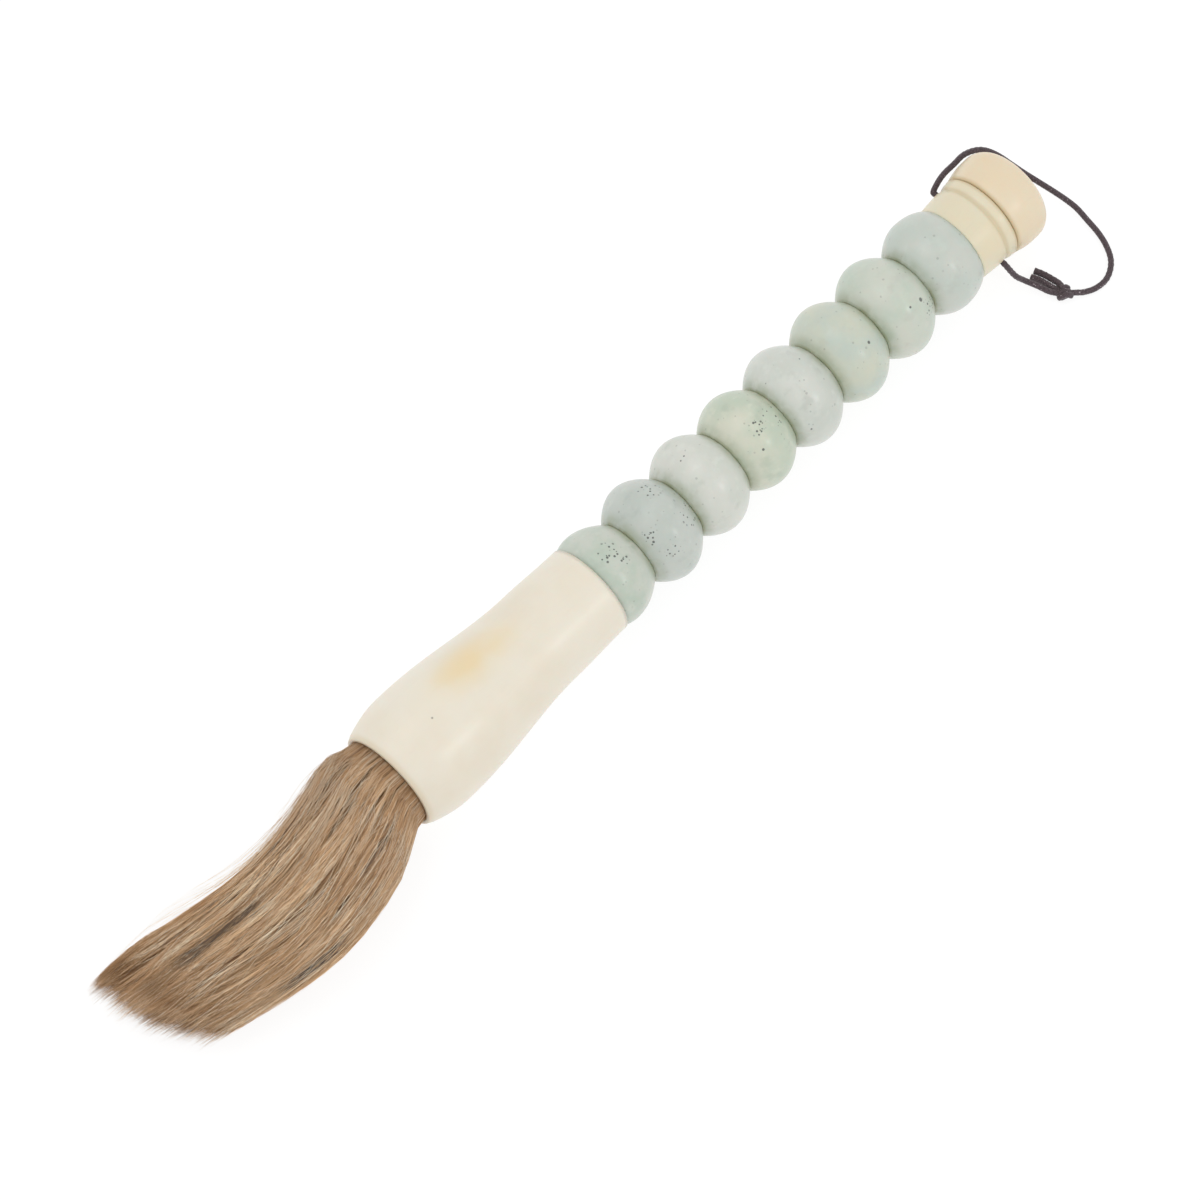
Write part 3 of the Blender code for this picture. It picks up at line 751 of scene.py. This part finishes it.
def braided_tube(name, path, radius, material, around=24):
    """A closed tube along a path, in millimetres, whose surface has the relief of a round braid."""
    sides, ups = carried_frames(path)
    steps = np.linalg.norm(np.diff(path, axis=0), axis=1)
    along = np.concatenate([[0.0], np.cumsum(steps)])[:, None]
    angles = np.linspace(0.0, 2.0 * math.pi, around, endpoint=False)[None, :]
    pitch = 2.0 * math.pi / BRAID_PITCH
    weave = np.abs(np.sin(2.0 * angles + pitch * along) * np.sin(2.0 * angles - pitch * along))
    swell = radius * (1.0 - BRAID_RELIEF + 2.0 * BRAID_RELIEF * weave)
    ring = sides[:, None, :] * np.cos(angles)[..., None]
    ring = ring + ups[:, None, :] * np.sin(angles)[..., None]
    vertices = path[:, None, :] + ring * swell[..., None]
    rows = len(path)
    faces = tube_faces(rows, around)
    faces.append(tuple(reversed(range(around))))
    faces.append(tuple(range((rows - 1) * around, rows * around)))
    return new_object(name, vertices.reshape(-1, 3) * MM, faces, material)


def table_point(x, y, z):
    """From millimetres along the brush from its mouth, sideways, and above the table."""
    return MOUTH[0] / MM + x, MOUTH[1] / MM + y, z


def bore_side():
    """Along the bore, to its mouth on the +y side."""
    level = Vector((0.0, math.cos(BORE_ROLL), math.sin(BORE_ROLL)))
    return np.array(Matrix.Rotation(TILT, 3, "Y") @ level)


def cord_anchors():
    """The cord from inside the bore, round the cap, through the knot and back into the bore."""
    centre = np.array(brush_frame(BORE_X).translation) / MM
    side = bore_side()
    mouth = collar_radius(BORE_X)
    reaches = (1.5, 6.0, 11.0, mouth, mouth + CORD_EXIT)
    start = [centre + side * reach for reach in reaches]
    end = [centre - side * reach for reach in reversed(reaches)]
    over = [(261.2, 16.4, 21.9), (264.6, 16.9, 22.1), (269.0, 17.0, 21.8), (273.2, 17.3, 21.1),
            (276.8, 16.8, 19.8), (279.9, 15.5, 18.4), (282.1, 13.5, 16.8), (283.8, 10.6, 15.0),
            (285.2, 6.5, 12.9), (286.6, 2.4, 10.8), (288.6, -2.9, 8.2), (290.4, -7.6, 5.8),
            (291.7, -11.7, 3.9), (292.3, -15.6, 2.6), (291.9, -20.3, 1.7), (291.2, -25.4, 1.2),
            (289.7, -30.1, 1.1), (287.1, -34.5, 1.1), (283.7, -37.2, 1.1), (279.9, -38.4, 1.1),
            (275.8, -37.9, 1.1), (272.3, -36.3, 1.5), (270.0, -34.7, 2.3)]
    back = [(264.7, -28.9, 2.6), (263.3, -25.1, 3.2), (261.1, -21.0, 4.9), (259.0, -18.9, 8.2)]
    middle = [table_point(*place) for place in (*over, KNOT_PLACE, *back)]
    return [*start, *middle, *end]


def knot_coil():
    """The cord's turns round the doubled cord, as the middle of an overhand knot."""
    centre = np.array(table_point(*KNOT_PLACE))
    along = np.array((0.45, 0.89, 0.0))
    across = np.array((0.89, -0.45, 0.0))
    up = np.array((0.0, 0.0, 1.0))
    points = []
    for share in np.linspace(0.0, 1.0, 60):
        turn = 2.0 * math.pi * KNOT_TURNS * share
        reach = KNOT_REACH[0] + (KNOT_REACH[1] - KNOT_REACH[0]) * share
        around = across * math.cos(turn) * KNOT_HALF_WIDTH + up * math.sin(turn) * KNOT_HALF_HEIGHT
        points.append(centre + along * reach + around)
    return np.array(points)


def tail_anchors():
    """The two cut ends, side by side, from inside the knot."""
    first = [(267.2, -31.6, 2.0), (266.9, -29.0, 1.5), (266.6, -26.1, 1.1), (266.0, -23.2, 1.05),
             (265.0, -20.6, 1.05)]
    second = [(268.0, -31.6, 2.2), (269.2, -29.0, 1.5), (269.0, -25.8, 1.1), (268.4, -22.8, 1.05),
              (267.4, -20.0, 1.05)]
    return [[table_point(*place) for place in tail] for tail in (first, second)]


def cord_look():
    material, tree, shader = new_look("cord", 0.7, Sheen_Weight=0.25)
    place = object_place(tree)
    fibre = noise(tree, place, 2600.0, 2.0)
    colour = mix(tree, band(tree, fibre, 0.35, 0.7), (0.030, 0.018, 0.022), (0.085, 0.056, 0.066))
    # painted glints: pale specks of sheen painted into the cord's colour as highlights
    painted_glint = band(tree, noise(tree, place, 1500.0, 1.0), 0.68, 0.76)
    colour = mix(tree, painted_glint, colour, (0.35, 0.30, 0.32))
    tree.links.new(colour, shader.inputs["Base Color"])
    add_bump(tree, shader, fibre, 0.4, 0.0002)
    return material


def make_cord():
    look = cord_look()
    radius = CORD_DIAMETER / 2
    path = catmull_rom(cord_anchors(), CORD_STEP)
    cord = braided_tube("hanging_cord", path, radius, look)
    pieces = [braided_tube("cord_knot_turns", catmull_rom(knot_coil(), CORD_STEP), radius, look)]
    for number, anchors in enumerate(tail_anchors(), 1):
        tail = catmull_rom(anchors, CORD_STEP)
        pieces.append(braided_tube(f"cord_tail_{number}", tail, radius * TAIL_SWELL, look))
    for item in (cord, *pieces):
        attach(item, "cord_loop")
    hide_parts("cord_in_bore", "cord_long_side", "cord_short_side")
    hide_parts("cord_knot")
    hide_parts("cord_end_1")
    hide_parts("cord_end_2")


# ---------------------------------------------------------------- hair

def half_width(out):
    return ROOT_HALF_WIDTH + (BODY_HALF_WIDTH - ROOT_HALF_WIDTH) * smooth((out + 2.0) / SWELL_LENGTH)


def half_height(out):
    swollen = half_width(out)
    return swollen + (TIP_HALF_HEIGHT - swollen) * smooth((out - 25.0) / 85.0)


def tuft_centre(out):
    """Centre of the tuft's cross-section, in millimetres in the row frame."""
    out = np.asarray(out, float)
    rise = np.clip((out - 8.0) / 84.0, 0.0, 1.12) ** 0.85
    y = MOUTH[1] / MM - BOW * np.sin(math.pi * rise) + TIP_LEAN * smooth((out - 40.0) / 50.0)
    axis_z = MOUTH[2] / MM + TILT * out
    resting_z = TABLE_GAP + half_height(out)
    z = axis_z + (resting_z - axis_z) * smooth((out - 4.0) / 30.0)
    return MOUTH[0] / MM - out, y, z


def tuft_points(out, depth, angle):
    """Places in the tuft: how far out of the mouth, share of its radius, and angle around it."""
    x, y, z = tuft_centre(out)
    y = y + half_width(out) * depth * np.cos(angle)
    beyond = np.maximum(y - CROWDED_Y, 0.0)
    y = np.minimum(y, CROWDED_Y) + CROWDED_DEPTH * (1.0 - np.exp(-beyond / CROWDED_DEPTH))
    z = np.clip(z + half_height(out) * depth * np.sin(angle), *HAIR_HEIGHTS)
    return np.stack([x, y, z], axis=-1) * MM


def hair_reach(angle, depth):
    """The length of the tuft at a place across it: shorter towards -y."""
    side = -depth * np.cos(angle)
    return HAIR_LENGTH - HAIR_SHORT_SIDE * np.clip(side + 0.1, 0.0, 1.0) ** 1.4


def make_locks(rng):
    """The paths that the locks of hair follow, as waves of angle and depth along the tuft."""
    even = np.linspace(0.0, 2.0 * math.pi, LOCKS, endpoint=False)
    return {
        "angle": even + rng.normal(0.0, 0.03, LOCKS),
        "wave": rng.uniform(0.03, 0.2, LOCKS),
        "cycles": rng.uniform(0.5, 1.3, LOCKS),
        "phase": rng.uniform(0.0, 1.0, LOCKS),
        "depth_wave": rng.uniform(0.0, 0.055, LOCKS),
        "tone": np.clip(rng.normal(0.52, 0.2, LOCKS), 0.08, 0.92),
        "reach": rng.normal(0.0, 2.6, LOCKS),
    }


def lock_angles(locks, lock, offset, far):
    """Angles along strands that follow their locks, and how far round its wave each lock is."""
    turn = 2.0 * math.pi * (locks["cycles"][lock][:, None] * far + locks["phase"][lock][:, None])
    start = np.sin(2.0 * math.pi * locks["phase"][lock])[:, None]
    gather = 1.0 - LOCK_GATHER * smooth(far)
    angle = locks["angle"][lock][:, None] + offset[:, None] * gather
    angle = angle + locks["wave"][lock][:, None] * (np.sin(turn) - start)
    base = (locks["angle"][lock] + offset)[:, None]
    return angle + 0.07 * far * np.sin(2.0 * math.pi * 0.8 * far + 2.0 * base), turn


def strand_paths(rng, locks, count, first_out, depth_range, spread):
    """How far out each strand is along its length, its depth and angle there, and its tone."""
    lock = rng.integers(0, LOCKS, count)
    depth = rng.uniform(*depth_range, count) ** 0.6
    offset = rng.normal(0.0, spread, count)
    reach = hair_reach(locks["angle"][lock] + offset, depth) + locks["reach"][lock]
    reach = reach + rng.normal(0.0, 1.8, count)
    step = np.linspace(0.0, 1.0, STRAND_STATIONS)[None, :]
    out = first_out + (reach[:, None] - first_out) * step
    far = np.clip(out / HAIR_LENGTH, 0.0, 1.0)
    angle, turn = lock_angles(locks, lock, offset, far)
    fine = rng.uniform(0.0, 2.0 * math.pi, (count, 1))
    angle += 0.008 * np.sin(2.0 * math.pi * rng.uniform(1.0, 3.0, (count, 1)) * far + fine)
    depth = depth[:, None] + locks["depth_wave"][lock][:, None] * np.sin(turn + 1.0) * far
    crossing = (rng.random((count, 1)) < CROSSING_SHARE) & (first_out < 0.0)
    stray = np.where(crossing, CROSSING_STRAY, LOCK_STRAY) * rng.normal(0.0, 1.0, (count, 1))
    ragged = rng.normal(0.0, TIP_STRAY, (count, 1)) * smooth((far - 0.8) / 0.2)
    angle += stray * far ** 1.3 + ragged
    depth = depth + rng.normal(0.0, 0.04, (count, 1)) * smooth((far - 0.75) / 0.25)
    depth = np.where(crossing, np.maximum(depth, 0.99), depth)
    tone = locks["tone"][lock] + rng.normal(0.0, TONE_SPREAD, count)
    # strands that lie across the top are made paler: pale hairs, and a painted highlight on the top
    # hairs
    tone = np.clip(tone + np.where(crossing[:, 0], 0.3, 0.0), 0.02, 0.98)
    return out, np.clip(depth, 0.0, 1.05), angle, tone


def strand_mesh(name, points, columns, rows, radius, material):
    """One closed three-sided tapered strand for each path.  Its UV is its column and its row."""
    count, stations = points.shape[:2]
    ahead = np.gradient(points, axis=1)
    ahead /= np.linalg.norm(ahead, axis=2)[..., None]
    side = np.cross(ahead, (0.0, 0.0, 1.0))
    side /= np.linalg.norm(side, axis=2)[..., None] + 1e-9
    up = np.cross(side, ahead)
    taper = 1.0 - 0.65 * smooth(np.linspace(0.0, 1.0, stations))
    taper[0] = 0.0
    taper[-1] = 0.0
    width = radius[:, None] * taper[None, :] * MM
    corners = []
    for corner in range(3):
        turn = 2.0 * math.pi * corner / 3 + math.pi / 2
        corners.append(points + (side * math.cos(turn) + up * math.sin(turn)) * width[..., None])
    vertices = np.stack(corners, axis=2).reshape(-1, 3)
    strand = np.arange(count)[:, None, None] * stations * 3
    station = np.arange(stations - 1)[None, :, None] * 3
    corner = np.arange(3)[None, None, :]
    beside = (corner + 1) % 3
    faces = np.stack([strand + station + corner, strand + station + 3 + corner,
                      strand + station + 3 + beside, strand + station + beside], axis=-1).reshape(-1, 4)
    item = fast_object(name, vertices, faces, material)
    vertex_uv = np.stack([np.repeat(columns, stations * 3), np.repeat(rows.reshape(-1), 3)], axis=1)
    set_uv(item, vertex_uv, faces)
    return item


def fast_object(name, vertices, faces, material):
    """A mesh of quads from arrays."""
    mesh = bpy.data.meshes.new(name)
    mesh.vertices.add(len(vertices))
    mesh.vertices.foreach_set("co", vertices.astype(np.float32).reshape(-1))
    mesh.loops.add(faces.size)
    mesh.loops.foreach_set("vertex_index", faces.astype(np.int32).reshape(-1))
    mesh.polygons.add(len(faces))
    mesh.polygons.foreach_set("loop_start", np.arange(0, faces.size, 4, dtype=np.int32))
    mesh.update(calc_edges=True)
    mesh.materials.append(material)
    mesh.shade_smooth()
    item = bpy.data.objects.new(name, mesh)
    bpy.context.scene.collection.objects.link(item)
    return item


def row_of(out):
    """The row of a strand's UV at a distance out of the mouth."""
    return np.clip((out + 6.0) / 114.0, 0.0, 1.0)


def column_of(tone):
    """The column of a strand whose tone doesn't change along it."""
    return tone * (TONE_COLUMNS - 0.02)


def set_uv(item, vertex_uv, faces):
    """Give each corner of a mesh of quads its vertex's UV."""
    layer = item.data.uv_layers.new(name=HAIR_UV)
    layer.data.foreach_set("uv", vertex_uv[faces.reshape(-1)].astype(np.float32).reshape(-1))


def hair_uv(tree):
    node = tree.nodes.new("ShaderNodeUVMap")
    node.uv_map = HAIR_UV
    return node.outputs[0]


def strand_columns(rng, out, angle, tone):
    """The column of each strand: its tone or, in a dark patch, that patch's own column."""
    columns = column_of(tone)
    for number, (patch_angle, half_angle, start, end, _) in enumerate(PATCHES):
        middle = np.argmin(np.abs(out - (start + end) / 2), axis=1)
        there = np.degrees(angle[np.arange(len(angle)), middle]) % 360.0
        inside = np.abs(there - patch_angle) < half_angle * rng.uniform(0.5, 1.3, len(angle))
        inside &= rng.random(len(angle)) < PATCH_SHARE
        columns = np.where(inside, TONE_COLUMNS + PATCH_WIDTH * (number + 0.5), columns)
    return columns


def paint_patch(tree, column, row, colour, number):
    """Darken the columns of one patch, and more so between its start and its end."""
    _, _, start, end, dark_tone = PATCHES[number]
    low = TONE_COLUMNS + PATCH_WIDTH * number
    here = maths(tree, "MULTIPLY", maths(tree, "GREATER_THAN", column, low),
                 maths(tree, "LESS_THAN", column, low + PATCH_WIDTH))
    places = (start - PATCH_FADE_OUT, start + PATCH_FADE_IN, end - PATCH_FADE_IN, end + PATCH_FADE_OUT)
    rows = [float(row_of(place)) for place in places]
    begins = band(tree, row, rows[0], rows[1])
    ends = band(tree, row, rows[2], rows[3], 1.0, 0.0)
    dark = maths(tree, "MULTIPLY", maths(tree, "MULTIPLY", begins, ends), here)
    colour = mix(tree, here, colour, (0.50, 0.33, 0.19))
    return mix(tree, dark, colour, dark_tone)


def hair_look():
    """Brown to cream hair: the tone across the UV's columns, and changes along its rows."""
    material, tree, shader = new_look("hair", 0.5)
    shader.inputs["Specular IOR Level"].default_value = 0.35
    uv = hair_uv(tree)
    column, row = split(tree, uv)["X"], split(tree, uv)["Y"]
    drift = noise(tree, scaled(tree, uv, (60.0, 7.0, 1.0)), 1.0, 2.0)
    tone = maths(tree, "ADD", column, band(tree, drift, 0.3, 0.7, -0.14, 0.14))
    stops = [(0.0, (0.15, 0.075, 0.034)), (0.22, (0.36, 0.205, 0.1)), (0.42, (0.62, 0.385, 0.205)),
             (0.62, (0.84, 0.585, 0.345)), (0.8, (1.0, 0.89, 0.7))]
    colour = ramp(tree, tone, stops)
    for number in range(len(PATCHES)):
        colour = paint_patch(tree, column, row, colour, number)
    rooted = band(tree, row, float(row_of(0.5)), float(row_of(9.0)), 0.3, 0.0)
    colour = mix(tree, rooted, colour, (0.24, 0.13, 0.06))
    inner_part = band(tree, row, float(row_of(8.0)), float(row_of(60.0)), 0.4, 0.0)
    colour = mix(tree, inner_part, colour, (0.32, 0.165, 0.07))
    tree.links.new(colour, shader.inputs["Base Color"])
    return material


def under_hair_look():
    """The hair under the outer strands, as one dark streaked surface."""
    material, tree, shader = new_look("under_hair", 0.7)
    streaks = noise(tree, scaled(tree, hair_uv(tree), (420.0, 9.0, 1.0)), 1.0, 4.0)
    colour = mix(tree, band(tree, streaks, 0.35, 0.65), (0.20, 0.105, 0.05), (0.50, 0.30, 0.15))
    tree.links.new(colour, shader.inputs["Base Color"])
    return material


def make_under_hair(rng, material):
    """A grooved solid that fills the tuft under its outer strands."""
    around, rows = 240, 44
    angles = np.linspace(0.0, 2.0 * math.pi, around, endpoint=False)
    share = np.linspace(0.0, 1.0, rows)[:, None]
    outs = -5.0 + (hair_reach(angles, 0.9)[None, :] - 3.0) * share
    grooves = sum(rng.uniform(0.4, 1.0) * np.sin(count * angles + rng.uniform(0, 6.28))
                  for count in (23, 37, 51, 67)) * 0.006
    drift = 0.15 * smooth(outs / 100.0)
    depth = 0.9 + grooves[None, :] * np.ones((rows, 1))
    depth = depth * (1.0 - 0.4 * smooth((share - 0.88) / 0.12))
    vertices = tuft_points(outs, depth, angles[None, :] + drift).reshape(-1, 3)
    row = np.arange(rows - 1)[:, None] * around
    column = np.arange(around)[None, :]
    beside = (column + 1) % around
    faces = np.stack([row + column, row + around + column, row + around + beside, row + beside],
                     axis=-1).reshape(-1, 4)
    item = fast_object("under_hair", vertices, faces, material)
    u = np.arange(around)[None, :] / around
    set_uv(item, np.stack(np.broadcast_arrays(u, row_of(outs)), axis=-1).reshape(-1, 2), faces)
    close_ends(item.data, around, rows)
    return item


def close_ends(mesh, around, rows):
    """Close a tube of rings at its first and its last ring."""
    shape = bmesh.new()
    shape.from_mesh(mesh)
    shape.verts.ensure_lookup_table()
    shape.faces.new([shape.verts[index] for index in range(around)])
    last = (rows - 1) * around
    shape.faces.new([shape.verts[last + around - 1 - index] for index in range(around)])
    bmesh.ops.recalc_face_normals(shape, faces=shape.faces)
    shape.to_mesh(mesh)
    shape.free()


def make_stray_hair(rng, locks, material):
    """Single pale hairs that leave the tuft's +y outline or cross its top."""
    out, depth, angle, _ = strand_paths(rng, locks, STRAY_STRANDS, -3.0, (0.97, 1.0), 0.2)
    reach = rng.uniform(0.3, 1.0, STRAY_STRANDS)[:, None]
    out = -3.0 + (out + 3.0) * reach
    at_side = rng.random(STRAY_STRANDS) < 0.28
    start = np.where(at_side, rng.uniform(-0.5, 0.6, STRAY_STRANDS),
                     rng.uniform(0.6, 2.9, STRAY_STRANDS))
    lift = np.where(at_side, rng.uniform(0.03, 0.28, STRAY_STRANDS),
                    rng.uniform(0.01, 0.05, STRAY_STRANDS))
    far = np.linspace(0.0, 1.0, STRAND_STATIONS)[None, :]
    depth = depth + lift[:, None] * far ** 1.5
    sway = rng.normal(0.0, 0.3, STRAY_STRANDS)[:, None]
    angle = angle - angle[:, :1] + start[:, None]
    angle = angle + sway * np.sin(far * rng.uniform(1.5, 4.0, STRAY_STRANDS)[:, None])
    columns = column_of(rng.uniform(0.85, 0.99, STRAY_STRANDS))
    radius = np.full(STRAY_STRANDS, STRAND_RADIUS * 0.55)
    points = tuft_points(out, depth, angle)
    return strand_mesh("hair_stray", points, columns, row_of(out), radius, material)


def make_outer_hair(rng, locks, number, material):
    out, depth, angle, tone = strand_paths(rng, locks, STRANDS_PER_PIECE, ROOT_OUT, OUTER_DEPTHS, 0.016)
    radius = STRAND_RADIUS * rng.uniform(0.6, 1.35, STRANDS_PER_PIECE)
    columns = strand_columns(rng, out, angle, tone)
    points = tuft_points(out, depth, angle)
    return strand_mesh(f"hair_outer_{number}", points, columns, row_of(out), radius, material)


def make_inner_hair(rng, locks, material):
    """Strands inside the tuft's tip, where its ragged end lets them show."""
    out, depth, angle, tone = strand_paths(rng, locks, INNER_STRANDS, INNER_OUT, INNER_DEPTHS, 0.05)
    radius = STRAND_RADIUS * rng.uniform(0.7, 1.15, INNER_STRANDS)
    points = tuft_points(out, depth, angle)
    return strand_mesh("hair_inner", points, column_of(tone), row_of(out), radius, material)


def make_hair():
    rng = np.random.default_rng(SEED)
    locks = make_locks(rng)
    look = hair_look()
    pieces = [make_outer_hair(rng, locks, number + 1, look) for number in range(OUTER_PIECES)]
    pieces.append(make_inner_hair(rng, locks, look))
    pieces.append(make_stray_hair(rng, locks, look))
    under = make_under_hair(rng, under_hair_look())
    for item in (*pieces, under):
        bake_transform(item)
    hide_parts("hair_root", "hair_core")
    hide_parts("hair_mantle")


# ---------------------------------------------------------------- the brush

def dress_hidden(cad):
    """Give the CAD pieces that stay their looks."""
    looks = {"core_rod": wood_look(), "root_binding": thread_look(), "resin_plug": resin_look()}
    looks["ferrule_plug"] = looks["core_rod"]
    for name, look in looks.items():
        mesh = cad["nodes"][name].data
        mesh.materials.clear()
        mesh.materials.append(look)


def make_handle():
    rng = np.random.default_rng(SEED + 1)
    pieces = [(make_ferrule(ferrule_look()), "ferrule", "bone")]
    collar = finial_look("collar_bone", (0.66, 0.61, 0.46), (0.68, 0.60, 0.43), 0.4)
    cap = finial_look("cap_bone", (0.70, 0.60, 0.44), (0.70, 0.57, 0.39), 0.9)
    pieces.append((make_collar(collar), "finial_collar", "bone"))
    pieces.append((make_cap(cap), "finial_cap", "bone"))
    for index, tones in enumerate(STONE_TONES):
        bead = make_bead(index, rng, stone_look(index, *tones))
        pieces.append((bead, f"bead_{index + 1}", f"stone_{index + 1}"))
    for item, node, slot in pieces:
        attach(item, "handle")
        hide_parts(node)


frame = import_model()
make_camera()
make_cord()
make_hair()
make_handle()
dress_hidden(frame)
make_studio()
